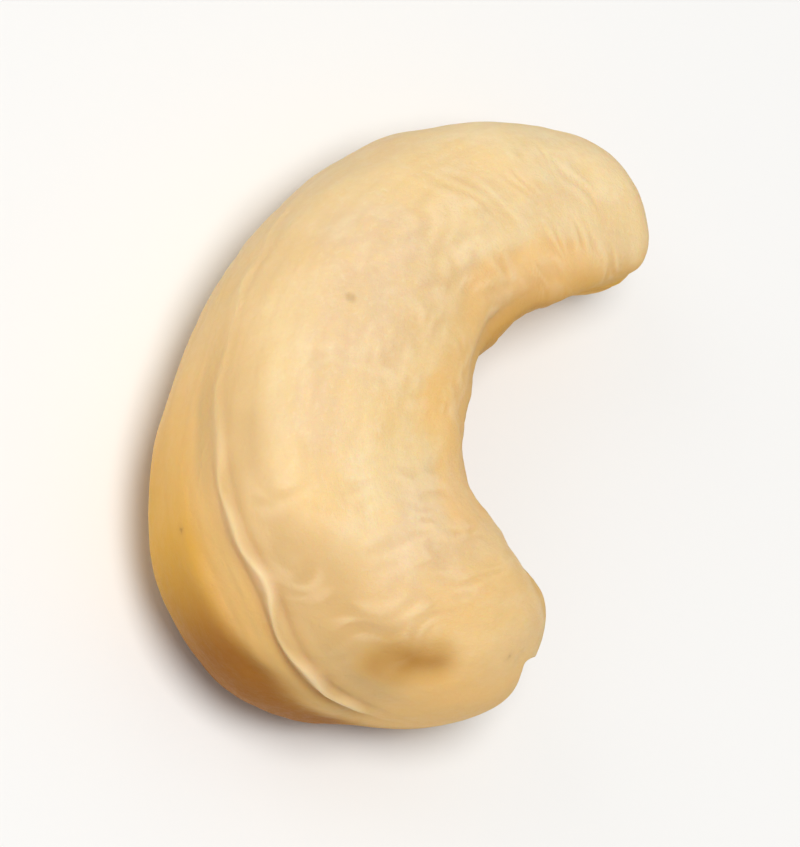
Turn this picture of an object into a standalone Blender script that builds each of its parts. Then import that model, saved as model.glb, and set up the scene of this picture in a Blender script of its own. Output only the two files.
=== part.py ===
"""Whole shelled cashew kernel, lying on its side.

The kernel is one closed skin. It is lofted along a bent run, from the slim arm's tip round the
broad back to the blunt nose. Each section stands upright across the run and is a rounded oval,
given by its radius at each angle: 0 degrees faces the back of the bend, 90 degrees faces up and
180 degrees faces the hollow. Relief is then raised along the skin's normals: the seam between
the two seed leaves, the folds beside it, the root's nub at the nose and the uneven faces.

Metres, +Z up. The origin is the centre of the kernel's box, on the surface that it lies on.
+Y runs along the kernel's length and +X points out of its hollow.
"""

import bpy
import numpy as np

# Driving dimensions. Lengths are in millimetres and angles in degrees.
MM = 0.001

# Stations at equal steps of the run, from the arm's tip to the nose: centre x, y and height,
# heading of the back, half breadth, half thickness, seam's angle on the back and in the hollow
STATIONS = np.array((
    (2.65, 13.1, 3.35, 139.0, 2.00, 2.40, 0.0, 180.0),
    (1.0, 12.3, 3.50, 149.0, 2.80, 3.25, -1.0, 181.0),
    (-1.2, 10.4, 3.70, 159.0, 3.50, 3.80, -3.0, 184.0),
    (-3.2, 7.3, 4.00, 173.0, 4.30, 4.15, -5.0, 187.0),
    (-4.4, 2.8, 4.30, 193.0, 4.75, 4.45, 2.0, 189.0),
    (-3.9, -1.9, 4.65, 213.0, 5.45, 4.80, 13.0, 189.0),
    (-2.0, -6.0, 4.85, 232.0, 6.10, 5.00, 21.5, 188.0),
    (1.0, -7.8, 4.85, 248.0, 6.20, 5.00, 24.0, 187.0),
    (4.0, -7.6, 4.65, 258.0, 5.30, 4.80, 11.5, 185.0),
    (6.5, -6.4, 4.35, 266.0, 3.85, 4.25, -4.0, 182.0),
    (9.1, -5.2, 4.10, 276.0, 2.95, 3.30, -6.0, 180.0),
))

SECTION_POWER = 2.3     # 2 is an ellipse; more is squarer
BACK_SWELL = 0.06       # the section is this much thicker towards the back, and slimmer inside
CAP_SHARE = 0.12        # share of the run that rounds off at each end
ARM_CAP_POWER = 2.0
NOSE_CAP_POWER = 2.3

# Seam: a groove with a lip on each side, and a trough beyond the upper lip
GROOVE_DEPTH = 0.28
GROOVE_WIDTH = 0.24
HOLLOW_GROOVE_DEPTH = 0.55
HOLLOW_GROOVE_WIDTH = 0.60
UPPER_LIP_HEIGHT = 0.20
UPPER_LIP_PLACE = 0.46
UPPER_LIP_WIDTH = 0.24
LOWER_LIP_HEIGHT = 0.08
LOWER_LIP_PLACE = 0.60
LOWER_LIP_WIDTH = 0.40
TROUGH_DEPTH = 0.18
TROUGH_PLACE = 1.20
TROUGH_WIDTH = 0.45
TIP_FADE = 0.045        # share of the run over which the lips fade out at each tip
TIP_GROOVE = 0.50       # share of the groove's depth that is left at the tips

# Fold on the upper face, beside the hollow: angle, place and length on the run, depth, width
FOLD_ANGLE = 146.0
FOLD_PLACE = 0.41
FOLD_LENGTH = 0.10
FOLD_DEPTH = 0.20
FOLD_WIDTH = 0.60

# Round bumps and dents: place on the run, angle, height (a dent is negative), radius
SPOTS = (
    (0.987, 18.0, 0.06, 1.20),      # the root's nub, at the end of the nose
    (0.972, 87.0, -0.30, 0.55),     # notch between the nub and the nose
    (0.800, 46.0, -0.18, 1.30),     # hollow patch above the lower margin, in two
    (0.850, 51.5, -0.20, 1.30),
    (0.945, 150.0, 0.16, 1.40),     # swelling of the nose beside the hollow
    (0.385, 168.0, 0.28, 1.20),     # corner of the hollow, where the arm leaves the body
    (0.120, 145.0, 0.14, 1.30),     # shoulder of the arm above the hollow, in three
    (0.190, 148.0, 0.38, 1.40),
    (0.270, 150.0, 0.42, 1.40),
    (0.300, 62.0, -0.10, 2.60),     # flats on the upper face
    (0.620, 118.0, -0.10, 2.40),
    (0.520, 262.0, 0.08, 3.00),
)

# Slow unevenness of the faces: height, waves along the run, waves round, phase
SWELLS = (
    (0.060, 3.0, 1.0, 0.7),
    (0.045, 5.0, 2.0, 2.1),
    (0.035, 8.0, 3.0, 4.4),
)

# Mesh
CAP_RINGS = 11
MIDDLE_RINGS = 54
RING_POINTS = 56        # a multiple of 4
SEAM_CROWDING = 0.75    # 0 spaces the points evenly; nearer 1 crowds them at the seam

COLOUR = (0.80, 0.60, 0.36, 1.0)
ROUGHNESS = 0.50


def station_values(run):
    """Station columns at each share of the run, on a natural cubic spline through the rows."""
    last = len(STATIONS) - 1
    system = np.eye(last + 1)
    bend = np.zeros_like(STATIONS)
    for i in range(1, last):
        system[i, i - 1:i + 2] = (1.0, 4.0, 1.0)
        bend[i] = 6.0 * (STATIONS[i - 1] - 2.0 * STATIONS[i] + STATIONS[i + 1])
    bend = np.linalg.solve(system, bend)
    low = np.clip((run * last).astype(int), 0, last - 1)
    high_part = (run * last - low)[:, None]
    low_part = 1.0 - high_part
    return (low_part * STATIONS[low] + high_part * STATIONS[low + 1]
            + (low_part ** 3 - low_part) * bend[low] / 6.0
            + (high_part ** 3 - high_part) * bend[low + 1] / 6.0)


def ring_places():
    """Shares of the run: rings crowd towards both tips as on a ball, and are even between."""
    turn = np.linspace(0.0, np.pi / 2.0, CAP_RINGS + 1)
    arm = CAP_SHARE * (1.0 - np.cos(turn))
    middle = np.linspace(CAP_SHARE, 1.0 - CAP_SHARE, MIDDLE_RINGS + 1)[1:-1]
    return np.concatenate((arm, middle, (1.0 - arm)[::-1]))


def ring_angles(seam_back, seam_hollow):
    """Angles round each ring. A point lies on the seam on both sides, with others crowded to it."""
    step = np.linspace(0.0, 1.0, RING_POINTS // 2, endpoint=False)
    step = step - SEAM_CROWDING * np.sin(2.0 * np.pi * step) / (2.0 * np.pi)
    back = seam_back[:, None]
    hollow = seam_hollow[:, None]
    upper = back + (hollow - back) * step
    lower = hollow + (back + 2.0 * np.pi - hollow) * step
    return np.concatenate((upper, lower), axis=1)


def end_rounding(share, power):
    """0 at a tip, rising to 1 where its cap ends."""
    left = np.clip(1.0 - share / CAP_SHARE, 0.0, 1.0)
    return (1.0 - left ** power) ** (1.0 / power)


def bare_skin(run, angle):
    """Points of the smooth bean, and each one's distance from its section's centre."""
    x, y, level, heading, breadth, thickness = station_values(run).T[:6, :, None]
    heading = np.radians(heading)
    rounding = end_rounding(run, ARM_CAP_POWER) * end_rounding(1.0 - run, NOSE_CAP_POWER)
    rounding = np.maximum(rounding, 1e-4)[:, None]
    across = np.cos(angle) / (breadth * rounding)
    upward = np.sin(angle) / (thickness * rounding)
    power = SECTION_POWER
    radius = (np.abs(across) ** power + np.abs(upward) ** power) ** (-1.0 / power)
    skin = np.stack((
        x + radius * np.cos(angle) * np.cos(heading),
        y + radius * np.cos(angle) * np.sin(heading),
        level + radius * np.sin(angle) * (1.0 + BACK_SWELL * np.cos(angle)),
    ), axis=-1)
    return skin, radius


def skin_normals(skin):
    """Outward unit normals of a grid of points, from the slopes along it and round it."""
    along = np.gradient(skin, axis=0)
    around = np.roll(skin, -1, axis=1) - np.roll(skin, 1, axis=1)
    normals = np.cross(along, around)
    normals[0] = normals[1].mean(axis=0)
    normals[-1] = normals[-2].mean(axis=0)
    return normals / np.linalg.norm(normals, axis=2, keepdims=True)


def hump(distance, width):
    """1 at no distance, falling smoothly to 0 beyond the width."""
    return np.exp(-(distance / width) ** 2)


def seam_relief(run, angle, radius, seam_back, seam_hollow):
    """Height beside the seam. The distance from it is positive on the upper seed leaf."""
    on_back = np.cos(angle - seam_back) > 0.0
    distance = radius * np.where(on_back, np.sin(angle - seam_back), np.sin(seam_hollow - angle))
    inward = np.where(on_back, 0.0, np.sin(np.pi * run) ** 2)
    depth = GROOVE_DEPTH + (HOLLOW_GROOVE_DEPTH - GROOVE_DEPTH) * inward
    width = GROOVE_WIDTH + (HOLLOW_GROOVE_WIDTH - GROOVE_WIDTH) * inward
    upper_lip = UPPER_LIP_HEIGHT * hump(distance - UPPER_LIP_PLACE, UPPER_LIP_WIDTH)
    lower_lip = LOWER_LIP_HEIGHT * hump(distance + LOWER_LIP_PLACE, LOWER_LIP_WIDTH)
    trough = TROUGH_DEPTH * hump(distance - TROUGH_PLACE, TROUGH_WIDTH) * (1.0 - inward)
    from_tip = 1.0 - hump(np.minimum(run, 1.0 - run), TIP_FADE)
    groove = depth * hump(distance, width) * (TIP_GROOVE + (1.0 - TIP_GROOVE) * from_tip)
    return (upper_lip + lower_lip - trough) * from_tip - groove


def fold_relief(run, angle, radius):
    """Height of the fold that runs beside the hollow on the upper face."""
    distance = radius * (angle - np.radians(FOLD_ANGLE))
    return -FOLD_DEPTH * hump(distance, FOLD_WIDTH) * hump(run - FOLD_PLACE, FOLD_LENGTH)


def spot_relief(skin):
    """Height of the round bumps and dents, by the distance from each one's middle."""
    height = np.zeros(skin.shape[:2])
    for place, angle, rise, size in SPOTS:
        middle = bare_skin(np.array([place]), np.radians([[angle]]))[0][0, 0]
        height += rise * hump(np.linalg.norm(skin - middle, axis=2), size)
    return height


def swell_relief(run, angle):
    """Height of the slow unevenness. It fades at both tips, where the angles meet."""
    height = np.zeros(angle.shape)
    for rise, waves_along, waves_round, phase in SWELLS:
        height += rise * np.sin(2.0 * np.pi * waves_along * run + phase) * np.cos(waves_round * angle)
    return height * np.sin(np.pi * run) ** 0.5


def kernel_skin():
    """Grid of the kernel's points in millimetres: the bare bean, its relief and its flat."""
    run = ring_places()
    seam_back, seam_hollow = np.radians(station_values(run).T[6:8])
    angle = ring_angles(seam_back, seam_hollow)
    skin, radius = bare_skin(run, angle)
    run = run[:, None]
    height = seam_relief(run, angle, radius, seam_back[:, None], seam_hollow[:, None])
    height += fold_relief(run, angle, radius)
    height += spot_relief(skin)
    height += swell_relief(run, angle)
    skin += height[:, :, None] * skin_normals(skin)
    skin[:, :, 2] = np.maximum(skin[:, :, 2], 0.0)
    low = skin.min(axis=(0, 1))
    high = skin.max(axis=(0, 1))
    skin[:, :, :2] -= ((low + high) / 2.0)[:2]
    return skin


def skin_faces(rings, points):
    """Corner numbers: a fan at each tip and two triangles for each cell between."""
    tip = rings * points
    faces = []
    for j in range(points):
        k = (j + 1) % points
        faces.append((tip, j, k))
        faces.append((tip + 1, (rings - 1) * points + k, (rings - 1) * points + j))
    for i in range(rings - 1):
        for j in range(points):
            k = (j + 1) % points
            near, far = i * points, (i + 1) * points
            faces.append((near + j, far + j, far + k))
            faces.append((near + j, far + k, near + k))
    return faces


def kernel_material():
    """Waxy cream of a raw kernel."""
    material = bpy.data.materials.new("kernel")
    material.use_nodes = True
    shader = material.node_tree.nodes["Principled BSDF"]
    shader.inputs["Base Color"].default_value = COLOUR
    shader.inputs["Roughness"].default_value = ROUGHNESS
    shader.inputs["Metallic"].default_value = 0.0
    return material


def add_kernel():
    """The kernel as one closed object."""
    skin = kernel_skin() * MM
    rings = skin[1:-1]
    corners = np.concatenate((rings.reshape(-1, 3), skin[:1, :].mean(axis=1), skin[-1:, :].mean(axis=1)))
    mesh = bpy.data.meshes.new("kernel")
    mesh.from_pydata(corners.tolist(), [], skin_faces(len(rings), RING_POINTS))
    mesh.validate()
    mesh.shade_smooth()
    mesh.materials.append(kernel_material())
    kernel = bpy.data.objects.new("kernel", mesh)
    bpy.context.scene.collection.objects.link(kernel)
    return kernel


def main():
    for leftover in list(bpy.data.objects):
        bpy.data.objects.remove(leftover, do_unlink=True)
    add_kernel()


main()
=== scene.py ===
import bpy
import numpy as np
from mathutils import Matrix, Vector


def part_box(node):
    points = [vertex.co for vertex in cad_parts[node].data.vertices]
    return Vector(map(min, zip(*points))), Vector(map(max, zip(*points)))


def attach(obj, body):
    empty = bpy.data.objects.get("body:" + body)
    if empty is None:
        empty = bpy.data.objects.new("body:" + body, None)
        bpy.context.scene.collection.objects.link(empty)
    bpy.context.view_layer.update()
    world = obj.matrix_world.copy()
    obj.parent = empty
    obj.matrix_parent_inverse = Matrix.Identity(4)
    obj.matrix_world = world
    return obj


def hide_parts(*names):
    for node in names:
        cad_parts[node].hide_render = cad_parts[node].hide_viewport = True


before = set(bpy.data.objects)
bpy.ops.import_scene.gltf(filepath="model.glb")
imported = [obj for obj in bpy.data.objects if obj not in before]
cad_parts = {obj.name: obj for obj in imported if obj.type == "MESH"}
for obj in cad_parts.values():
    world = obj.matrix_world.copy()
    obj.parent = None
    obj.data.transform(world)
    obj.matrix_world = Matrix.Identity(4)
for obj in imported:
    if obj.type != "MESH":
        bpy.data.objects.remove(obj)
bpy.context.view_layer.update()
mm = 0.001
print("frame loaded")


# The kernel is a bent bean. Every point has a share of the run, 0 at the slim arm's tip and 1 at the
# blunt nose, and an angle round its section: 0 faces the back, 90 up, 180 the hollow. Lengths are in
# mm and angles in degrees. A slope is given by its two ends, and a band by its two ends and its fade.
kernelValues = {
    # centre x, y and height, heading of the back, half breadth, half thickness,
    # angle of the seam on the back and in the hollow
    "stations": [
        (2.65, 13.1, 3.35, 139.0, 2.00, 2.40, 0.0, 180.0),
        (1.0, 12.3, 3.50, 149.0, 2.80, 3.25, -1.0, 181.0),
        (-1.2, 10.4, 3.70, 159.0, 3.50, 3.80, -3.0, 184.0),
        (-3.2, 7.3, 4.00, 173.0, 4.30, 4.15, -5.0, 187.0),
        (-4.4, 2.8, 4.30, 193.0, 4.75, 4.45, 2.0, 189.0),
        (-3.9, -1.9, 4.65, 213.0, 5.45, 4.80, 13.0, 189.0),
        (-2.0, -6.0, 4.85, 232.0, 6.10, 5.00, 21.5, 188.0),
        (1.0, -7.8, 4.85, 248.0, 6.20, 5.00, 24.0, 187.0),
        (4.0, -7.6, 4.65, 258.0, 5.30, 4.80, 11.5, 185.0),
        (6.5, -6.4, 4.35, 266.0, 3.85, 4.25, -4.0, 182.0),
        (9.1, -5.2, 4.10, 276.0, 2.95, 3.30, -6.0, 180.0),
    ],
    "squareness": 2.3,       # 2 is an ellipse
    "backSwell": 0.06,
    "capShare": 0.12,        # share of the run that rounds off at each end
    "armCap": 2.0,
    "noseCap": 2.3,
    "capRings": 62,
    "middleRings": 300,
    "ringPoints": 224,
    "seamCrowding": 0.72,    # nearer 1 crowds the points at the seam

    # All below is relief: heights above the bean along its normals. First the seam.
    "grooveDepth": 0.12, "grooveWidth": 0.24,
    "hollowDepth": 0.55, "hollowWidth": 0.60,
    "crackDepth": 0.03, "crackWidth": 0.08,
    "wander": 0.10, "wanderRadius": (0.6, 2.5),
    # height, distance from the seam towards the upper leaf, width
    "ridge": (0.20, 0.38, 0.17), "ridgeUneven": 0.42,
    "seamBands": [(-0.09, 0.72, 0.14), (-0.19, 1.35, 0.60), (0.05, -0.62, 0.40), (-0.08, -1.50, 0.45)],
    "faintRun": (0.51, 0.69), "faintShare": 0.14, "noseFade": (0.79, 0.93),
    "tipFade": 0.045, "tipGroove": 0.50, "armFade": (-0.04, 0.14), "hollowFlatter": 0.6,

    "fold": (146.0, 0.41, 0.10, 0.20, 0.60),   # angle, place, length on the run, depth, width
    "spots": [                             # place on the run, angle, height, radius
        (0.987, 18.0, 0.06, 1.20),         # the root's nub
        (0.958, 79.0, -0.12, 0.55),        # a dent above it
        (0.800, 46.0, -0.18, 1.30),
        (0.850, 51.5, -0.20, 1.30),
        (0.945, 150.0, 0.16, 1.40),
        (0.385, 168.0, 0.28, 1.20),        # corner of the hollow
        (0.120, 145.0, 0.14, 1.30),        # shoulder of the arm above the hollow, in three
        (0.190, 148.0, 0.38, 1.40),
        (0.270, 150.0, 0.42, 1.40),
        (0.300, 62.0, -0.10, 2.60),
        (0.620, 118.0, -0.10, 2.40),
        (0.520, 262.0, 0.08, 3.00),
    ],
    # height, turns along the run and round the section, phase
    "swells": [(0.060, 3.0, 1.0, 0.7), (0.045, 5.0, 2.0, 2.1), (0.035, 8.0, 3.0, 4.4)],
    # place, angle, direction across it, depth, slope of its edge, length of the way out, radius
    "nick": (0.988, 101.0, (0.687, -0.685, -0.242), 0.58, (-0.20, 0.22), 1.05, 1.00),
    # angle, its slope along the run, place, height, width, band of the run
    "rim": (131.0, -170.0, 0.85, 0.05, 0.30, (0.67, 0.92, 0.07)),
    "rimWander": 0.14, "rimUneven": 0.25,

    "patterns": {    # lengths along the kernel and across it, seed, and a number of waves
        "wander": ((3.6, 40.0, 40.0), 3),
        "uneven": ((1.7, 30.0, 30.0), 302),
        "broken": ((3.0, 2.0, 2.0), 13),
        "cross": ((1.3, 4.5, 4.5), 12),
        "lines": ((16.0, 1.3, 1.3), 14),
        "lumps": ((4.2, 3.2, 3.2), 15),
        "dimples": ((1.9, 1.5, 1.5), 17, 40),
        "skin": ((0.7, 0.6, 0.6), 16, 50),
        "drift": ((5.0, 3.5, 3.5), 23),
    },
    "mostUneven": 1.5,
    "lumps": 0.035, "dimples": 0.016, "skin": 0.006,
    "wrinkles": 0.026, "wrinkleWidth": 0.55,
    "hollowWrinkles": ((166.0, 210.0, 12.0), (0.12, 0.90, 0.06)),    # bands of the angle and the run
    "underWrinkles": ((225.0, 330.0, 25.0), 0.35),                   # band of the angle, share
    "wrinkleBreaks": (-0.3, 1.4), "wrinkleLeast": 0.10,
    "striations": 0.007, "striationWidth": 0.40,
    "rippleHeight": 0.027,
    "ripples": [    # bands of the run and the angle, length, slant, seed
        ((0.62, 0.79, 0.05), (46.0, 122.0, 20.0), 0.72, 0.15, 31),
        ((0.18, 0.34, 0.05), (72.0, 138.0, 20.0), 0.66, -0.25, 41),
        ((0.36, 0.57, 0.05), (60.0, 132.0, 16.0), 0.66, 1.60, 51),
    ],
    "rippleWaves": 40, "rippleStretch": 3.0, "rippleSteepness": 1.3,
    "rippleSway": (0.25, (2.5, 2.5, 2.5)),           # share, lengths
    "rippleGaps": ((-1.2, 0.8), (2.8, 2.8, 2.8)),    # slope, lengths
    "pits": 14, "pitDepth": 0.06, "pitSeed": 21,
    "pitRun": (0.06, 0.94), "pitRadius": (0.10, 0.24), "pitShare": (0.3, 1.0),
}


def splineRows(rows, share):
    # natural cubic spline through evenly spaced rows: the bends solve one tridiagonal system, and
    # a point is its two rows blended by distance, plus each bend times (part cubed - part) / 6
    rows = np.array(rows)
    last = len(rows) - 1
    system = np.eye(last + 1)
    bend = np.zeros_like(rows)
    for i in range(1, last):
        system[i, i - 1:i + 2] = (1.0, 4.0, 1.0)
        bend[i] = 6.0 * (rows[i - 1] - 2.0 * rows[i] + rows[i + 1])
    bend = np.linalg.solve(system, bend)
    low = np.clip((share * last).astype(int), 0, last - 1)
    high = (share * last - low)[:, None]
    rest = 1.0 - high
    return (rest * rows[low] + high * rows[low + 1]
            + (rest ** 3 - rest) * bend[low] / 6.0 + (high ** 3 - high) * bend[low + 1] / 6.0)


def runShares(capRings, middleRings, capShare):
    # the rings of each cap stand at capShare times one less the cosine of an even turn
    turn = np.linspace(0.0, np.pi / 2.0, capRings + 1)
    arm = capShare * (1.0 - np.cos(turn))
    middle = np.linspace(capShare, 1.0 - capShare, middleRings + 1)[1:-1]
    return np.concatenate((arm, middle, (1.0 - arm)[::-1]))


def ringAngles(seamBack, seamHollow, points, crowding):
    # even steps less crowding times the sine of the step, from seam to seam over each seed leaf
    step = np.linspace(0.0, 1.0, points // 2, endpoint=False)
    step = step - crowding * np.sin(2.0 * np.pi * step) / (2.0 * np.pi)
    upper = seamBack + (seamHollow - seamBack) * step
    lower = seamHollow + (seamBack + 2.0 * np.pi - seamHollow) * step
    return np.concatenate((upper, lower), axis=1)


def capRounding(share, capShare, power):
    # one less the power of what is left of the cap, to the inverse power
    left = np.clip(1.0 - share / capShare, 0.0, 1.0)
    return (1.0 - left ** power) ** (1.0 / power)


def beanPoints(values, run, angle):
    # section radius: (|cos / breadth| ^ p + |sin / thickness| ^ p) ^ (-1 / p), both times the cap's
    # rounding; the point is the section's centre plus the radius along its heading and upwards
    x, y, level, heading, breadth, thickness = splineRows(values["stations"], run).T[:6, :, None]
    heading = np.radians(heading)
    rounding = (capRounding(run, values["capShare"], values["armCap"])
                * capRounding(1.0 - run, values["capShare"], values["noseCap"]))
    rounding = np.maximum(rounding, 1e-4)[:, None]    # never 0, which can't be divided by
    p = values["squareness"]
    radius = (np.abs(np.cos(angle) / (breadth * rounding)) ** p
              + np.abs(np.sin(angle) / (thickness * rounding)) ** p) ** (-1.0 / p)
    out = radius * np.cos(angle)
    rise = radius * np.sin(angle) * (1.0 + values["backSwell"] * np.cos(angle))
    return np.stack((x + out * np.cos(heading), y + out * np.sin(heading), level + rise), -1), radius


def gridNormals(points):
    # cross product of the slope along the run and the slope round the ring
    along = np.gradient(points, axis=0)
    around = np.roll(points, -1, axis=1) - np.roll(points, 1, axis=1)
    normals = np.cross(along, around)
    normals[0] = normals[1].mean(axis=0)
    normals[-1] = normals[-2].mean(axis=0)
    return normals / np.linalg.norm(normals, axis=2, keepdims=True)


def hump(distance, width):
    # exp of minus the square of distance over width
    return np.exp(-(distance / width) ** 2)


def ramp(value, low, high):
    # 0 below low, 1 above high, 3 t squared less 2 t cubed between
    t = np.clip((value - low) / (high - low), 0.0, 1.0)
    return t * t * (3.0 - 2.0 * t)


def band(value, low, high, soft):
    # 1 from low to high, fading over soft on both sides
    return ramp(value, low - soft, low) * (1.0 - ramp(value, high, high + soft))


def waveSum(place, lengths, seed, count=26):
    # sum of cosines of straight waves in random directions and of paces 0.7 to 1.4, with a spread
    # of 1; a longer length on an axis stretches the pattern along it
    draw = np.random.default_rng(seed)
    direction = draw.normal(size=(count, 3))
    direction /= np.linalg.norm(direction, axis=1, keepdims=True)
    pace = draw.uniform(0.7, 1.4, count)
    phase = draw.uniform(0.0, 2.0 * np.pi, count)
    total = np.zeros(place.shape[:2])
    for k in range(count):
        total += np.cos(place @ (2.0 * np.pi * pace[k] * direction[k] / np.array(lengths)) + phase[k])
    return total * np.sqrt(2.0 / count)


def creases(field, width):
    # minus a hump wherever the field crosses zero: a web of thin lines
    return -hump(field, width)


def rippleField(values, grid, runs, angles, length, slant, seed):
    # across the ripples is along the kernel less slant times round it, divided by the length of
    # (1, slant), and it sways; the height is tanh of a sum of waves that are longer the other way,
    # and fades out beyond its runs and angles, and in irregular gaps
    place, run, degrees = grid["place"], grid["run"], grid["degrees"]
    along = place[:, :, 0]
    around = grid["radius"] * np.radians(degrees)
    scale = np.hypot(1.0, slant)
    sway, swayLengths = values["rippleSway"]
    across = (along - slant * around) / scale + sway * waveSum(place, swayLengths, seed + 2)
    turned = np.stack((across, (slant * along + around) / scale, place[:, :, 2]), -1)
    longer = values["rippleStretch"] * length
    field = waveSum(turned, (length, longer, longer), seed, values["rippleWaves"])
    gapSlope, gapLengths = values["rippleGaps"]
    gaps = ramp(waveSum(place, gapLengths, seed + 1), *gapSlope)
    return np.tanh(values["rippleSteepness"] * field) * gaps * band(run, *runs) * band(degrees, *angles)


def beanGrid(values):
    # the bare bean's points; and for each its angle, normal, distance from the section's centre, and
    # place on the skin laid out straight: length along the run and the section's own two axes
    run = runShares(values["capRings"], values["middleRings"], values["capShare"])
    rows = splineRows(values["stations"], run)
    seams = np.radians(rows.T[6:8])[:, :, None]
    angle = ringAngles(seams[0], seams[1], values["ringPoints"], values["seamCrowding"])
    points, radius = beanPoints(values, run, angle)
    centres = points.mean(axis=1)
    length = np.concatenate(([0.0], np.cumsum(np.linalg.norm(np.diff(centres, axis=0), axis=1))))
    place = np.stack((length[:, None] + 0.0 * angle, radius * np.cos(angle), radius * np.sin(angle)), -1)
    return {
        "points": points, "radius": radius, "normals": gridNormals(points), "place": place,
        "run": run[:, None], "seams": seams, "heading": np.radians(rows[:, 3:4]),
        "angle": angle, "degrees": np.degrees(angle) % 360.0,
    }


def spotPoint(place, angle):
    # the bare bean's point at that place on the run and angle
    return beanPoints(kernelValues, np.array([place]), np.radians([[angle]]))[0][0, 0]


def spotDistance(points, place, angle):
    # straight distance from the point at that place and angle
    return np.linalg.norm(points - spotPoint(place, angle), axis=2)


def seamRelief(values, grid, wander, uneven):
    # groove, crack, ridge and troughs, each a hump of the distance from the seam, which wanders; the
    # ridge's width and height follow uneven
    run, angle, radius = grid["run"], grid["angle"], grid["radius"]
    seamBack, seamHollow = grid["seams"]
    onBack = np.cos(angle - seamBack) > 0.0
    distance = radius * np.where(onBack, np.sin(angle - seamBack), np.sin(seamHollow - angle))
    distance = distance + values["wander"] * wander * ramp(radius, *values["wanderRadius"])
    inward = np.where(onBack, 0.0, np.sin(np.pi * run) ** 2)
    depth = values["grooveDepth"] + (values["hollowDepth"] - values["grooveDepth"]) * inward
    width = values["grooveWidth"] + (values["hollowWidth"] - values["grooveWidth"]) * inward
    fromTip = 1.0 - hump(np.minimum(run, 1.0 - run), values["tipFade"])
    clear = values["faintShare"] + (1.0 - values["faintShare"]) * ramp(run, *values["faintRun"])
    clear = np.where(onBack, clear, 1.0) * (1.0 - onBack * ramp(run, *values["noseFade"]))
    bands = sum(rise * hump(distance - offset, spread) for rise, offset, spread in values["seamBands"])
    rise, offset, spread = values["ridge"]
    uneven = 1.0 + values["ridgeUneven"] * uneven
    ridge = hump(distance - offset * uneven, spread * uneven) * onBack
    bands = bands + rise * ridge * uneven
    groove = depth * clear * hump(distance, width)
    groove = groove * (values["tipGroove"] + (1.0 - values["tipGroove"]) * fromTip)
    groove = groove * ramp(run, *values["armFade"])
    crack = values["crackDepth"] * hump(distance, values["crackWidth"]) * clear ** 2
    height = (bands * clear * (1.0 - values["hollowFlatter"] * inward) - crack) * fromTip - groove
    return height, distance, onBack, clear * fromTip, ridge * clear * fromTip


def wrinkleRelief(values, grid, patterns, fade):
    # creases across the hollow and, fainter, the under side, where the slow pattern called broken
    # lets them through; fine lines along the kernel; and the sum of the ripple fields
    angles, runs = values["hollowWrinkles"]
    hollow = band(grid["degrees"], *angles) * band(grid["run"], *runs)
    angles, share = values["underWrinkles"]
    under = band(grid["degrees"], *angles) * fade
    least = values["wrinkleLeast"]
    broken = least + (1.0 - least) * ramp(patterns["broken"], *values["wrinkleBreaks"])
    cross = creases(patterns["cross"], values["wrinkleWidth"]) * broken
    cross = cross * np.maximum(hollow, share * under)
    lines = creases(patterns["lines"], values["striationWidth"]) * fade
    ripples = sum(rippleField(values, grid, *one) for one in values["ripples"])
    return cross, lines, ripples


def nickRelief(values, points):
    # a step down across its direction that levels out, times a hump of the distance from its place
    place, angle, across, depth, edge, wayOut, radius = values["nick"]
    below = (points - spotPoint(place, angle)) @ np.array(across)
    nick = ramp(below, *edge) * np.exp(-np.maximum(below, 0.0) / wayOut)
    nick = nick * hump(spotDistance(points, place, angle), radius)
    return depth * nick, nick, below


def rimRelief(values, grid, wander, uneven):
    # a low, uneven fillet on the nose beside the hollow: a hump of the length round the section past
    # an angle that slopes along the run
    angle, slope, place, rise, width, runs = values["rim"]
    past = grid["radius"] * np.radians(grid["degrees"] - angle - slope * (grid["run"] - place))
    past = past + values["rimWander"] * wander
    rim = hump(past, width) * band(grid["run"], *runs) * (1.0 + values["rimUneven"] * (uneven - 1.0))
    return rise * rim, rim, past


def pitRelief(values, points):
    # round pits of random place, radius and share, the deepest of them where they overlap
    draw = np.random.default_rng(values["pitSeed"])
    pits = np.zeros(points.shape[:2])
    for k in range(values["pits"]):
        dot = spotDistance(points, draw.uniform(*values["pitRun"]), draw.uniform(0.0, 360.0))
        dot = hump(dot, draw.uniform(*values["pitRadius"]))
        pits = np.maximum(pits, dot * draw.uniform(*values["pitShare"]))
    return pits


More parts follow.
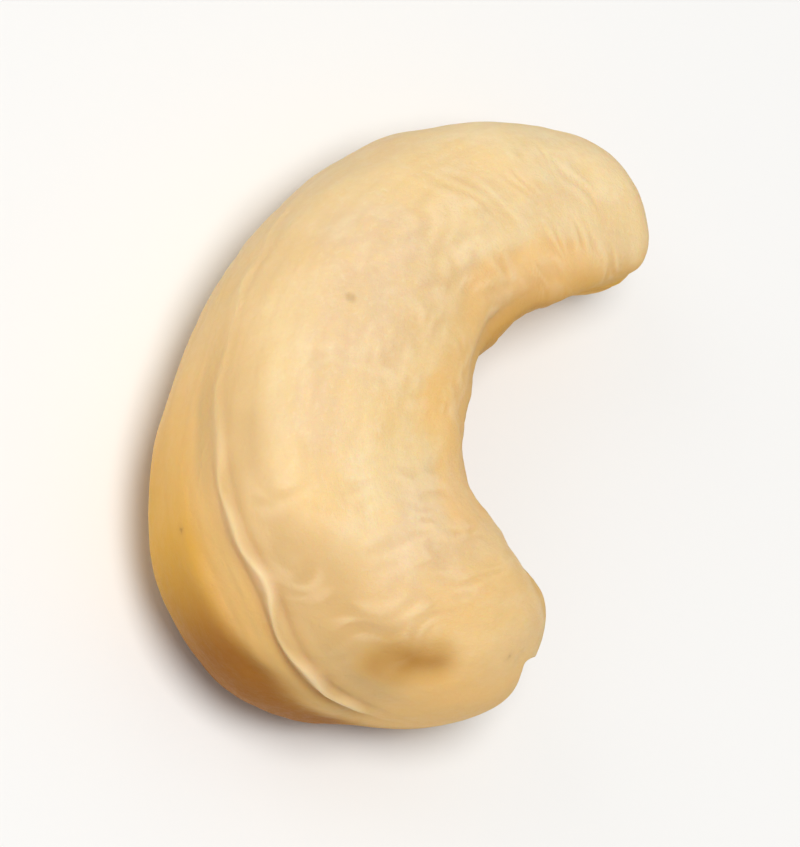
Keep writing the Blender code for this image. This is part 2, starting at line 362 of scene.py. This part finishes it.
def kernelRelief(values, grid):
    # height of the skin above the bean: the sum of its forms, which also go to the finish by name
    run, angle, radius, points = grid["run"], grid["angle"], grid["radius"], grid["points"]
    fade = np.sin(np.pi * run) ** 0.5
    patterns = {name: waveSum(grid["place"], *one) for name, one in values["patterns"].items()}
    wander = patterns["wander"]
    uneven = np.clip(patterns["uneven"], -values["mostUneven"], values["mostUneven"])
    height, distance, onBack, clear, ridge = seamRelief(values, grid, wander, uneven)

    foldAngle, foldPlace, foldLength, foldDepth, foldWidth = values["fold"]
    fold = hump(radius * (angle - np.radians(foldAngle)), foldWidth) * hump(run - foldPlace, foldLength)
    height -= foldDepth * fold
    for place, spotAngle, rise, size in values["spots"]:
        height += rise * hump(spotDistance(points, place, spotAngle), size)
    for rise, along, around, phase in values["swells"]:
        height += rise * np.sin(2.0 * np.pi * along * run + phase) * np.cos(around * angle) * fade

    cross, lines, ripples = wrinkleRelief(values, grid, patterns, fade)
    height += values["rippleHeight"] * ripples + values["wrinkles"] * cross + values["striations"] * lines
    for name in ("lumps", "dimples", "skin"):
        height += values[name] * patterns[name] * fade
    nickDrop, nick, below = nickRelief(values, points)
    rimRise, rim, past = rimRelief(values, grid, wander, uneven)
    pits = pitRelief(values, points)
    height += rimRise - nickDrop - values["pitDepth"] * pits
    return height, {
        "distance": distance, "onBack": onBack, "clear": clear, "ridge": ridge, "uneven": uneven,
        "fold": fold, "cross": cross, "lines": lines, "ripples": ripples,
        "nick": nick, "below": below, "rim": rim, "past": past, "pits": pits,
        "drift": patterns["drift"], "dimples": np.clip(patterns["dimples"], -1.0, 1.0),
    }


# Finish: linear colours, where each tint lies, and the noises of the flesh. Most tints are painted light
# and shade.
fleshValues = {
    "cream": (0.850, 0.665, 0.375),
    "butter": (0.835, 0.610, 0.305),
    "buff": (0.775, 0.565, 0.345),
    "blond": (0.875, 0.715, 0.445),
    "highlightPale": (0.900, 0.690, 0.430),
    "bounceApricot": (0.920, 0.550, 0.190),
    "shadeTan": (0.660, 0.450, 0.210),
    "shadeAndToneGold": (0.740, 0.400, 0.052),
    "shadeAndStainAmber": (0.290, 0.092, 0.002),
    "creaseShadeBrown": (0.520, 0.270, 0.085),
    "pitBrown": (0.300, 0.130, 0.045),
    # Slopes, and bands where there are four numbers. The last number says how far the border drifts.
    # The fields are the normal's share towards the back or upwards, the distance from the seam, the
    # place on the run, the angle round the section, and the length round it past the nose's rim.
    "zones": {
        "facing": (-0.05, 0.60, 0.08),
        "upward": (0.05, 0.88, 0.05),
        "marginSeam": (-1.10, -0.25, 0.35, 0.0),   # the strip below the seam
        "besideSeam": (-0.9, -0.3, 0.0),           # the wide strip above it
        "besideRun": (0.56, 0.80, 0.09, 0.0),
        "besideWiden": (0.58, 0.72, 0.0),
        "shelteredStart": (0.10, 0.22, 0.0),       # the arm's outer side
        "shelteredEnd": (0.40, 0.58, 0.0),
        "footRun": (0.66, 0.84, 0.0),              # the nose and what leads to it
        "footSeam": (0.55, 0.80, 0.0),
        "inwardAngle": (140.0, 215.0, 30.0, 5.0),  # the hollow's side
        "inwardRun": (0.10, 0.86, 0.12, 0.015),
        "inwardUpward": (0.22, 0.80, 0.0),
        "inwardHeart": (0.5, 1.0, 0.0),            # of the sine of half a turn along the run
        "wallAngle": (158.0, 215.0, 14.0, 0.0),    # the wall under the arm
        "wallRun": (0.17, 0.44, 0.06, 0.0),
        "flankSeam": (0.2, 1.9, 0.3),              # the back below the seam
        "flankRun": (0.47, 0.63, 0.0),
        "lowRun": (0.60, 0.72, 0.0),               # the lowest part of it
        "nearNose": (0.62, 0.70, 0.0),
        "shoulderAngle": (124.0, 155.0, 13.0, 4.0),
        "shoulderRun": (0.26, 0.70, 0.08, 0.01),
        "bendAngle": (112.0, 150.0, 36.0, 0.0),
        "bendRun": (0.44, 0.58, 0.10, 0.0),
        "outerPast": (0.15, 0.60, 0.0),            # the nose past its rim
        "outerRun": (0.68, 0.94, 0.08, 0.0),
        "armTip": (0.04, 0.16, 0.0),
    },
    # how far from the seam the strip reaches, away from the nose and near it
    "besideReach": (1.6, 2.5), "besideDrift": 0.15, "besideFade": (-0.2, 1.3), "besideDimples": 0.12,
    "lowSeam": (0.7, 2.9), "lowSeamNearNose": (0.1, 2.4), "lowDrift": 0.3,
    # brink: a line of painted shade in the trough beyond the ridge; grooveTint below places the painted
    # shade of the seam's groove
    "brink": (0.85, 0.24),                 # distance from the seam, width
    "footBand": (2.2, 1.4),
    "grooveTint": (-0.04, 0.20, 0.30),     # distance from the seam, width on the back and in the hollow
    "outerEnd": 170.0,
    "nickEdge": 0.16,
    # place, angle, radius, share
    # the patch is a toasted stain whose colour also paints the shade of the dent there
    "patch": [(0.803, 42.5, 1.05, 0.62), (0.832, 48.5, 1.10, 0.80), (0.860, 54.5, 1.00, 0.68)],
    "patchDimples": 0.08,
    "speck": (0.468, 63.5, 0.42, 0.85),
    # shares of the zones: golden takes the greatest, and each mask is a sum. Golden paints shade in gold
    # on the sides turned from the light, in the hollow, at its bend and on the nose, and also gives the
    # kernel its own golden tone and the patch's stain
    "golden": {"edgeOn": 0.22, "inward": 0.92, "flank": 1.0, "patch": 1.0, "bend": 0.30, "foot": 0.16,
               "outerRim": 0.60},
    "goldenMargin": 0.35,
    "masks": {
        # warm paints warm light bounced onto the sides, the arm's tip, the hollow's shoulder, the nose
        # and beside the seam, and less of it on the arm's outer side
        "warmBounce": {"edgeOn": 1.0, "shelteredEdge": -0.80, "foot": 0.36, "beside": 0.25, "armTip": 0.25,
                 "shoulder": 0.65},
        # tan paints shade in the broad trough beside the seam, and a little below the seam and on the
        # nose
        "shadeTan": {"beside": 0.88, "besideNearNose": 0.16, "margin": 0.30, "foot": 0.18},
        "shadeAndToneGold": {"golden": 1.0, "margin": 0.30},
        # amber paints the deepest shade, low on the back's flank and in the hollow's heart, and darkens
        # the heart of the stained patch
        "shadeAndStainAmber": {"low": 1.0, "patchHeart": 1.15, "inwardHeart": 0.36},
        # pale paints highlights on the seam's ridge, the nose's rim, the ripple crests and the arm's
        # outer edge
        "highlightPale": {"ridge": 0.60, "unevenRidge": 0.25, "shelteredEdge": 0.35, "rim": 0.45, "crests": 0.40},
        # deep paints shade in the seam's groove, the trough beyond the ridge, the fold, the ripple
        # troughs, the wrinkle and line creases, the nick's edge and the pits
        "creaseShade": {"groove": 0.70, "brink": 0.55, "fold": 0.30, "troughs": 0.20, "cross": -0.20,
                 "lines": -0.10, "nickEdge": 0.15, "pits": 0.50},
        "dots": {"dots": 1.0},
    },
    "noises": {                            # cells to a mm, detail, roughness
        "mottle": (1.0 / 4.5, 3.0, 0.55),
        "clouds": (0.55 / 4.5, 2.0, 0.5),
        "patches": (0.75, 3.0, 0.6),
        "flecks": (1.7, 3.0, 0.55),
        "grain": (4.0, 5.0, 0.62),
        "fine": (11.0, 3.0, 0.6),
        "streaks": (1.0 / 0.7, 4.0, 0.6),
    },
    "streakSqueeze": (0.09, 1.0, 1.0),     # streaks run along the kernel
    "clouding": [                          # colour, noise, its slope, share at the top
        ("butter", "mottle", 0.38, 0.64, 1.0),
        ("buff", "clouds", 0.50, 0.70, 0.75),
        ("blond", "patches", 0.48, 0.72, 0.50),
        ("butter", "patches", 0.52, 0.30, 0.60),
        ("butter", "flecks", 0.52, 0.70, 0.45),
        ("buff", "grain", 0.52, 0.72, 0.30),
        ("blond", "grain", 0.48, 0.28, 0.35),
        ("buff", "streaks", 0.52, 0.74, 0.30),
    ],
    "tints": [                             # colour, mask, share
        # every tint here paints light or shade; gold and amber are partly the kernel's own tone and a
        # stain
        ("bounceApricot", "warmBounce", 0.85),
        ("shadeTan", "shadeTan", 1.0),
        ("shadeAndToneGold", "shadeAndToneGold", 0.90),
        ("shadeAndStainAmber", "shadeAndStainAmber", 0.90),
        ("highlightPale", "highlightPale", 0.80),
        ("creaseShadeBrown", "creaseShade", 0.60),
    ],
    # a noise's or mask's slope, and what it gives at its two ends
    "goldMottle": (0.30, 0.65, 0.70, 1.0), "dotTint": (0.45, 1.0, 0.0, 0.45),
    "roughness": (0.30, 0.70, 0.50, 0.68),
    "bumpShares": {"grain": 0.60, "fine": 0.25, "streaks": 0.35},
    "bump": 0.50, "bumpHeight": 0.00012,
    "specular": 0.16,
    "subsurface": 0.40, "subsurfaceDepth": 0.0015, "subsurfaceRadius": (1.0, 0.45, 0.13),
}


def tintZones(values, grid, forms):
    # where each tint may lie, 0 to 1: products of slopes, bands and humps; fields are shifted by a
    # slow drift, so that the borders wander
    run, degrees, heading, points = grid["run"], grid["degrees"], grid["heading"], grid["points"]
    normalX, normalY, normalZ = np.moveaxis(grid["normals"], 2, 0)
    distance, onBack, clear, past = forms["distance"], forms["onBack"], forms["clear"], forms["past"]
    drift, dimples, pits = forms["drift"], forms["dimples"], forms["pits"]

    def zone(field, name):
        # slope or band of the shifted field
        *limits, shift = values["zones"][name]
        shape = ramp if len(limits) == 2 else band
        return shape(field + shift * drift, *limits)

    behind = zone(normalX * np.cos(heading) + normalY * np.sin(heading), "facing")
    # edgeOn: the sides that turn from the camera, which take the painted warm bounce and some painted
    # shade
    edgeOn = 1.0 - zone(normalZ, "upward")
    sheltered = behind * zone(run, "shelteredStart") * (1.0 - zone(run, "shelteredEnd"))
    margin = zone(distance, "marginSeam") * clear * onBack

    # beside: the strip along the seam that takes painted shade
    narrow, wide = values["besideReach"]
    reach = narrow + (wide - narrow) * zone(run, "besideWiden") + values["besideDrift"] * drift
    fadeStart, fadeEnd = values["besideFade"]
    beside = zone(distance, "besideSeam") * (1.0 - ramp(distance, reach + fadeStart, reach + fadeEnd))
    beside = beside * onBack * zone(run, "besideRun") * (1.0 + values["besideDimples"] * (dimples - 1.0))
    # brink and groove carry painted shade along the seam
    brinkPlace, brinkWidth = values["brink"]
    brink = hump(distance - brinkPlace, brinkWidth) * clear * onBack
    groovePlace, backWidth, hollowWidth = values["grooveTint"]
    groove = hump(distance - groovePlace, np.where(onBack, backWidth, hollowWidth)) * clear

    bare = 1.0
    # the patch: a stain, darkened also as painted shade of its dent
    for place, angle, size, share in values["patch"]:
        bare = bare * (1.0 - share * hump(spotDistance(points, place, angle), size))
    patch = (1.0 - bare) * (1.0 + values["patchDimples"] * (dimples - 1.0))
    place, angle, size, share = values["speck"]
    speck = share * hump(spotDistance(points, place, angle), size)

    footPlace, footWidth = values["footBand"]
    # foot: painted warm bounce and some painted shade on the nose
    foot = np.maximum(zone(run, "footRun"), zone(run, "footSeam") * hump(distance - footPlace, footWidth))
    # flank and low: painted shade, gold to amber, darker towards the bottom of the back below the seam
    flank = zone(-distance, "flankSeam") * behind * zone(run, "flankRun")
    nearNose = zone(run, "nearNose")
    lowStart, lowEnd = (far + (near - far) * nearNose
                        for far, near in zip(values["lowSeam"], values["lowSeamNearNose"]))
    low = ramp(-distance + values["lowDrift"] * drift, lowStart, lowEnd) * behind * zone(run, "lowRun")

    # inward: painted shade in the hollow and on the wall under the arm; bend below gives painted shade at
    # the hollow's corner
    inward = zone(degrees, "inwardAngle") * zone(run, "inwardRun") * (1.0 - zone(normalZ, "inwardUpward"))
    inward = np.maximum(inward, zone(degrees, "wallAngle") * zone(run, "wallRun"))
    # outerRim: painted shade on the nose past its rim
    outerRim = zone(past, "outerPast") * zone(run, "outerRun") * (degrees < values["outerEnd"])
    return {
        "edgeOn": edgeOn, "shelteredEdge": sheltered * edgeOn, "armTip": 1.0 - zone(run, "armTip"),
        "margin": margin, "beside": beside, "besideNearNose": beside * nearNose,
        "brink": brink, "groove": groove, "foot": foot, "flank": flank, "low": low,
        "inward": inward, "inwardHeart": inward * zone(np.sin(np.pi * run), "inwardHeart"),
        "patch": patch, "patchHeart": patch ** 2, "outerRim": outerRim, "rim": forms["rim"],
        "shoulder": zone(degrees, "shoulderAngle") * zone(run, "shoulderRun"),
        "bend": zone(degrees, "bendAngle") * zone(run, "bendRun"),
        "ridge": forms["ridge"], "unevenRidge": forms["ridge"] * forms["uneven"],
        # crests take a painted highlight, troughs painted shade
        "crests": np.maximum(forms["ripples"], 0.0), "troughs": np.maximum(-forms["ripples"], 0.0),
        "fold": forms["fold"], "cross": forms["cross"], "lines": forms["lines"],
        "nickEdge": forms["nick"] * hump(forms["below"], values["nickEdge"]),
        "pits": pits, "dots": np.maximum(pits, speck),
    }


def tintMasks(values, zones):
    # golden is the greatest of its zones times their shares, and weaker in the margin; each mask is
    # the sum of its zones times their shares, kept between 0 and 1
    golden = np.maximum.reduce([share * zones[name] for name, share in values["golden"].items()])
    zones["golden"] = golden * (1.0 - values["goldenMargin"] * zones["margin"])
    masks = {}
    for mask, shares in values["masks"].items():
        total = sum(share * zones[name] for name, share in shares.items())
        masks[mask] = np.clip(total, 0.0, 1.0)
    return masks


def kernelSurface():
    # the bean plus its relief along its normals, clipped at the floor and centred; and its masks
    grid = beanGrid(kernelValues)
    height, forms = kernelRelief(kernelValues, grid)
    skin = grid["points"] + height[:, :, None] * grid["normals"]
    skin[:, :, 2] = np.maximum(skin[:, :, 2], 0.0)
    middle = (skin.min(axis=(0, 1)) + skin.max(axis=(0, 1))) / 2.0
    skin[:, :, :2] -= middle[:2]
    return skin * mm, grid["place"], tintMasks(fleshValues, tintZones(fleshValues, grid, forms))


def gridMesh(name, skin, place, masks):
    # closed tube: each row of the grid is a ring, and the first and last rows are single points
    rings, points = skin.shape[0] - 2, skin.shape[1]

    def rowsAndTips(values):
        # the inner rows one after another, then the mean of the first and of the last row
        body = values[1:-1].reshape((rings * points,) + values.shape[2:])
        return np.concatenate((body, values[:1].mean(axis=1), values[-1:].mean(axis=1)))

    near = (np.arange(rings - 1)[:, None] * points + np.arange(points)).ravel()
    turned = (np.arange(rings - 1)[:, None] * points + (np.arange(points) + 1) % points).ravel()
    quads = np.stack((near, near + points, turned + points, turned), axis=1)
    here = np.arange(points)
    onward = (here + 1) % points
    tip = rings * points
    last = (rings - 1) * points
    armFan = np.stack((np.full(points, tip), here, onward), axis=1)
    noseFan = np.stack((np.full(points, tip + 1), last + onward, last + here), axis=1)
    corners = rowsAndTips(skin)
    mesh = bpy.data.meshes.new(name)
    mesh.vertices.add(len(corners))
    mesh.vertices.foreach_set("co", corners.astype(np.float32).ravel())
    loops = np.concatenate((quads.ravel(), armFan.ravel(), noseFan.ravel()))
    starts = np.concatenate((np.arange(len(quads)) * 4, len(quads) * 4 + np.arange(2 * points) * 3))
    mesh.loops.add(len(loops))
    mesh.loops.foreach_set("vertex_index", loops.astype(np.int32))
    mesh.polygons.add(len(starts))
    mesh.polygons.foreach_set("loop_start", starts.astype(np.int32))
    mesh.update(calc_edges=True)
    mesh.validate()
    mesh.shade_smooth()
    for maskName, values in masks.items():
        mesh.attributes.new(maskName, "FLOAT", "POINT").data.foreach_set(
            "value", rowsAndTips(values).astype(np.float32))
    mesh.attributes.new("laidOut", "FLOAT_VECTOR", "POINT").data.foreach_set(
        "vector", rowsAndTips(place).astype(np.float32).ravel())
    return mesh


def kernelFinish(values):
    # cream is blended towards each clouding colour where a noise is on its slope, then towards each
    # tint by its mask; roughness follows the grain, and the bump is a sum of the finer noises
    material = bpy.data.materials.new("cashewFlesh")
    material.use_nodes = True
    nodes = material.node_tree.nodes
    links = material.node_tree.links
    shader = nodes["Principled BSDF"]

    def attribute(name):
        # a value kept at the mesh's points
        node = nodes.new("ShaderNodeAttribute")
        node.attribute_name = name
        return node

    def noise(vector, scale, detail, rough):
        node = nodes.new("ShaderNodeTexNoise")
        node.inputs["Scale"].default_value = scale
        node.inputs["Detail"].default_value = detail
        node.inputs["Roughness"].default_value = rough
        links.new(vector, node.inputs["Vector"])
        return node.outputs["Fac"]

    def spread(value, low, high, outLow, outHigh):
        # smooth slope from outLow where value is low to outHigh where it is high
        node = nodes.new("ShaderNodeMapRange")
        node.interpolation_type = "SMOOTHSTEP"
        limits = {"From Min": low, "From Max": high, "To Min": outLow, "To Max": outHigh}
        for name, number in limits.items():
            node.inputs[name].default_value = number
        links.new(value, node.inputs["Value"])
        return node.outputs["Result"]

    def maths(operation, first, second):
        node = nodes.new("ShaderNodeMath")
        node.operation = operation
        for slot, value in ((0, first), (1, second)):
            if isinstance(value, float):
                node.inputs[slot].default_value = value
            else:
                links.new(value, node.inputs[slot])
        return node.outputs["Value"]

    def blend(below, above, share):
        # below times one less share, plus above times share
        node = nodes.new("ShaderNodeMix")
        node.data_type = "RGBA"
        for slot, value in ((6, below), (7, above)):
            if isinstance(value, tuple):
                node.inputs[slot].default_value = value + (1.0,)
            else:
                links.new(value, node.inputs[slot])
        links.new(share, node.inputs[0])
        return node.outputs[2]

    laidOut = attribute("laidOut").outputs["Vector"]
    squeeze = nodes.new("ShaderNodeMapping")
    squeeze.inputs["Scale"].default_value = values["streakSqueeze"]
    links.new(laidOut, squeeze.inputs["Vector"])
    noises = {name: noise(squeeze.outputs["Vector"] if name == "streaks" else laidOut, *one)
              for name, one in values["noises"].items()}

    colour = values["cream"]
    for name, pattern, low, high, share in values["clouding"]:
        colour = blend(colour, values[name], spread(noises[pattern], low, high, 0.0, share))
    # the tints paint warm bounce, highlights, and shade in creases and on the sides turned from the
    # light; gold and amber also give the kernel's golden tone and a stain
    for name, mask, share in values["tints"]:
        amount = attribute(mask).outputs["Fac"]
        if name == "shadeAndToneGold":
            amount = maths("MULTIPLY", amount, spread(noises["mottle"], *values["goldMottle"]))
        colour = blend(colour, values[name], maths("MULTIPLY", amount, share))
    dots = spread(attribute("dots").outputs["Fac"], *values["dotTint"])
    links.new(blend(colour, values["pitBrown"], dots), shader.inputs["Base Color"])

    links.new(spread(noises["grain"], *values["roughness"]), shader.inputs["Roughness"])
    shader.inputs["Specular IOR Level"].default_value = values["specular"]
    shader.inputs["Subsurface Weight"].default_value = values["subsurface"]
    shader.inputs["Subsurface Scale"].default_value = values["subsurfaceDepth"]
    shader.inputs["Subsurface Radius"].default_value = values["subsurfaceRadius"]

    heights = [maths("MULTIPLY", noises[name], share) for name, share in values["bumpShares"].items()]
    height = maths("ADD", maths("ADD", heights[0], heights[1]), heights[2])
    bump = nodes.new("ShaderNodeBump")
    bump.inputs["Strength"].default_value = values["bump"]
    bump.inputs["Distance"].default_value = values["bumpHeight"]
    links.new(height, bump.inputs["Height"])
    links.new(bump.outputs["Normal"], shader.inputs["Normal"])
    return material


def addKernel():
    # the skin stands where the node's box does
    skin, place, masks = kernelSurface()
    low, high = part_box("kernel")
    skin[:, :, 0] += (low.x + high.x) / 2.0
    skin[:, :, 1] += (low.y + high.y) / 2.0
    kernel = bpy.data.objects.new("kernelSkin", gridMesh("kernelSkin", skin, place, masks))
    bpy.context.scene.collection.objects.link(kernel)
    kernel.data.materials.append(kernelFinish(fleshValues))
    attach(kernel, "root")
    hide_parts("kernel")
    print("kernel:", len(kernel.data.vertices), "points")


addKernel()


# Floor: one wide pale sheet.
floorValues = {"halfSide": 1.2, "colour": (0.84, 0.84, 0.835), "roughness": 0.75}


def addFloor(values):
    # four corners at plus and minus halfSide, at height 0
    s = values["halfSide"]
    mesh = bpy.data.meshes.new("floor")
    mesh.from_pydata([(-s, -s, 0.0), (s, -s, 0.0), (s, s, 0.0), (-s, s, 0.0)], [], [(0, 1, 2, 3)])
    floor = bpy.data.objects.new("floor", mesh)
    bpy.context.scene.collection.objects.link(floor)
    material = bpy.data.materials.new("palePaper")
    material.use_nodes = True
    shader = material.node_tree.nodes["Principled BSDF"]
    shader.inputs["Base Color"].default_value = values["colour"] + (1.0,)
    shader.inputs["Roughness"].default_value = values["roughness"]
    mesh.materials.append(material)
    print("floor laid")


addFloor(floorValues)


# Camera: a long lens. The picture is 800 by 847, and its height takes in frameHeight at the kernel.
cameraValues = {
    "turn": 41.0,            # degrees that the kernel is turned in the picture before the tilt
    "tilt": 35.0,            # degrees from straight down
    "towards": 246.0,        # heading that the camera tilts towards
    "lens": 800.0,
    "sensor": 36.0,
    "clip": (0.05, 20.0),    # times the distance
    "frameHeight": 0.0316,
    "aim": (-0.0011, -0.0005, 0.005),   # right, up and height of what the picture centres on
}


def cameraAxes(values):
    # right, up and back of a camera that looks straight down, turned, then tilted about a level axis
    turn, tilt, towards = (np.radians(values[name]) for name in ("turn", "tilt", "towards"))
    axis = Vector((-np.sin(towards), np.cos(towards), 0.0))
    tilting = Matrix.Rotation(tilt, 3, axis)
    right = tilting @ Vector((np.cos(turn), np.sin(turn), 0.0))
    up = tilting @ Vector((-np.sin(turn), np.cos(turn), 0.0))
    return right, up, tilting @ Vector((0.0, 0.0, 1.0))


def addCamera(values):
    # it stands back from what it aims at by the distance where frameHeight fills the picture
    right, up, back = cameraAxes(values)
    camera = bpy.data.cameras.new("camera")
    camera.sensor_width = values["sensor"]
    camera.lens = values["lens"]
    distance = values["frameHeight"] * values["lens"] / camera.sensor_width
    nearest, farthest = values["clip"]
    camera.clip_start = distance * nearest
    camera.clip_end = distance * farthest
    across, upwards, level = values["aim"]
    place = right * across + up * upwards + Vector((0.0, 0.0, level)) + back * distance
    holder = bpy.data.objects.new("camera", camera)
    holder.matrix_world = Matrix.Translation(place) @ Matrix((right, up, back)).transposed().to_4x4()
    bpy.context.scene.collection.objects.link(holder)
    bpy.context.scene.camera = holder
    print("camera set")


addCamera(cameraValues)


# Lights: directions in the camera's own right, up and back, sizes in metres, power in watts.
lightValues = {
    "distance": 1.00,
    "key": {"from": (0.29, 0.17, 0.94), "size": 0.50, "power": 8.0, "colour": (1.0, 0.99, 0.97)},
    "fill": {"from": (-0.35, 0.62, 0.70), "size": 0.60, "power": 0.9, "colour": (1.0, 0.99, 0.98)},
    "world": (0.36, 0.36, 0.36),
}


def addLights(values):
    # each light stands at distance along its direction and faces the origin; the world is even
    right, up, back = cameraAxes(cameraValues)
    for name in ("key", "fill"):
        one = values[name]
        across, upwards, backwards = one["from"]
        away = (right * across + up * upwards + back * backwards).normalized()
        light = bpy.data.lights.new(name, "AREA")
        light.shape = "DISK"
        light.size = one["size"]
        light.energy = one["power"]
        light.color = one["colour"]
        holder = bpy.data.objects.new(name, light)
        turn = away.to_track_quat("Z", "Y").to_matrix().to_4x4()
        holder.matrix_world = Matrix.Translation(away * values["distance"]) @ turn
        bpy.context.scene.collection.objects.link(holder)
    world = bpy.data.worlds.new("softbox")
    world.use_nodes = True
    world.node_tree.nodes["Background"].inputs["Color"].default_value = values["world"] + (1.0,)
    bpy.context.scene.world = world
    print("lights set")


addLights(lightValues)
bpy.context.scene.view_settings.view_transform = "Standard"
